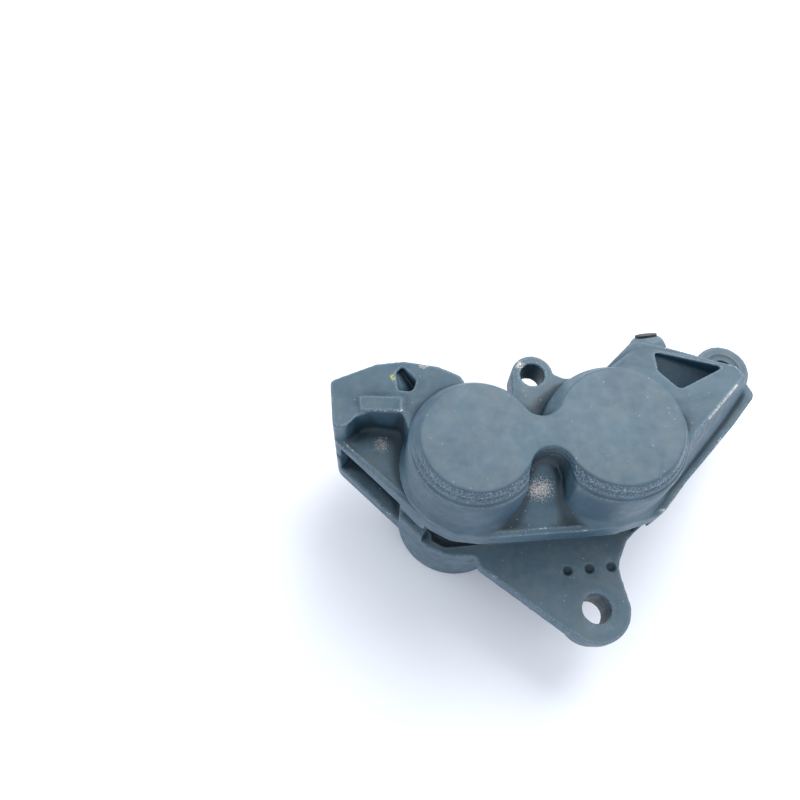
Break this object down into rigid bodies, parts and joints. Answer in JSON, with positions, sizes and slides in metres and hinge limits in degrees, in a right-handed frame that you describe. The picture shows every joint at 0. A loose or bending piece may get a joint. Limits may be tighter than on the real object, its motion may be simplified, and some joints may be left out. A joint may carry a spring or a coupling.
{
  "type": "disc brake caliper",
  "caption": "Opposed-piston fixed disc brake caliper: two bolted cast halves over a disc slot, sliding cup pistons, one ear on each half and a hose port at one end.",
  "frame": {"origin": "axis of the lower mounting hole at the face of its boss, where it meets the fork", "axes": "+X along the row of bores from the blind end to the port end, +Y away from the disc's centre, +Z along the pistons' axis towards the outer half; the caliper lies on its inner caps"},
  "size_m": [0.1721, 0.1204, 0.1],
  "materials": {
    "cast_housing": "satin dark slate-blue paint over a fine sand-cast skin, rubbed to bare metal in specks along its edges",
    "piston_chrome": "hard-chromed steel, ground, with brown brake-dust staining in the cup",
    "seal_rubber": "smooth moulded black rubber",
    "dust_rubber": "matt black rubber, dusty",
    "o_ring_rubber": "smooth black rubber",
    "bolt_steel": "black-oxide steel with a lightly oiled sheen",
    "stainless_guide": "thin rolled stainless sheet, scuffed",
    "plated_screw": "yellow zinc plating",
    "plug_rubber": "matt black moulded rubber"
  },
  "bodies": {
    "caliper_body": {"outer_half": "cast_housing", "inner_half": "cast_housing", "outer_small_dust_seal": "dust_rubber", "outer_small_pressure_seal": "seal_rubber", "outer_large_dust_seal": "dust_rubber", "outer_large_pressure_seal": "seal_rubber", "inner_small_dust_seal": "dust_rubber", "inner_small_pressure_seal": "seal_rubber", "inner_large_dust_seal": "dust_rubber", "inner_large_pressure_seal": "seal_rubber", "bridge_bolt_blind_end_rear": "bolt_steel", "bridge_bolt_blind_end_front": "bolt_steel", "bridge_bolt_port_end_rear": "bolt_steel", "bridge_bolt_port_end_front": "bolt_steel", "crossover_o_ring": "o_ring_rubber", "pad_guide_blind_end": "stainless_guide", "pad_guide_port_end": "stainless_guide", "guide_screw_blind_end": "plated_screw", "guide_screw_port_end": "plated_screw", "bleed_port_plug": "plug_rubber"},
    "outer_small_piston_body": {"outer_small_piston": "piston_chrome"},
    "outer_large_piston_body": {"outer_large_piston": "piston_chrome"},
    "inner_small_piston_body": {"inner_small_piston": "piston_chrome"},
    "inner_large_piston_body": {"inner_large_piston": "piston_chrome"}
  },
  "joints": [
    {"name": "outer_small_piston_slide", "type": "slide", "parent": "caliper_body", "child": "outer_small_piston_body", "axis": [0, 0, -1], "range_m": [0, 0.01]},
    {"name": "outer_large_piston_slide", "type": "slide", "parent": "caliper_body", "child": "outer_large_piston_body", "axis": [0, 0, -1], "range_m": [0, 0.01]},
    {"name": "inner_small_piston_slide", "type": "slide", "parent": "caliper_body", "child": "inner_small_piston_body", "axis": [0, 0, 1], "range_m": [0, 0.01]},
    {"name": "inner_large_piston_slide", "type": "slide", "parent": "caliper_body", "child": "inner_large_piston_body", "axis": [0, 0, 1], "range_m": [0, 0.01]}
  ],
  "couplings": [
    {"joint": "outer_large_piston_slide", "follows": "outer_small_piston_slide", "ratio": 1},
    {"joint": "inner_small_piston_slide", "follows": "outer_small_piston_slide", "ratio": 1},
    {"joint": "inner_large_piston_slide", "follows": "outer_small_piston_slide", "ratio": 1}
  ]
}
